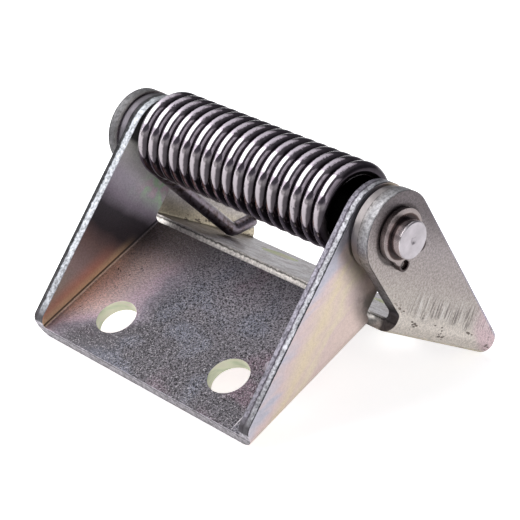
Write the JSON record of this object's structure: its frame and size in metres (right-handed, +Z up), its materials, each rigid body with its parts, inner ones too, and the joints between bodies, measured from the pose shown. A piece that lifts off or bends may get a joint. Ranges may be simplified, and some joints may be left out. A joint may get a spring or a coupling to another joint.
{
  "type": "sprung gate hinge",
  "caption": "Folded sheet steel gate hinge: brackets with raised ears turn on a pin and are held together by a close-wound torsion spring along it.",
  "frame": {"origin": "on the floor under the middle of the hinge, which stands like a tent on the free edges of both bases", "axes": "+X along the pin, towards the end seen in the picture; +Y towards the rear, wider bracket; +Z up"},
  "size_m": [0.089, 0.0722, 0.0526],
  "materials": {
    "front_steel": "thin zinc plate with a grey to pink and violet bloom",
    "rear_steel": "thin pale zinc plate, satin, with scuffs beside the folds",
    "pin_zinc": "bright zinc plate",
    "washer_zinc": "bright zinc plate",
    "ring_zinc": "bright zinc plate",
    "spring_steel": "dark polished spring wire"
  },
  "bodies": {
    "front": {"front_bracket": "front_steel", "torsion_spring": "spring_steel"},
    "rear": {"rear_bracket": "rear_steel", "hinge_pin": "pin_zinc", "washer_left": "washer_zinc", "washer_right": "washer_zinc", "retaining_ring_left": "ring_zinc", "retaining_ring_right": "ring_zinc"}
  },
  "joints": [
    {"name": "leaf_swing", "type": "hinge", "parent": "front", "child": "rear", "pos_m": [0, 0, 0.04008], "axis": [1, 0, 0], "range_deg": [0, 150], "stiffness_Nm_per_rad": 1.4, "springref_deg": -34.38, "deforming": ["torsion_spring"]}
  ]
}
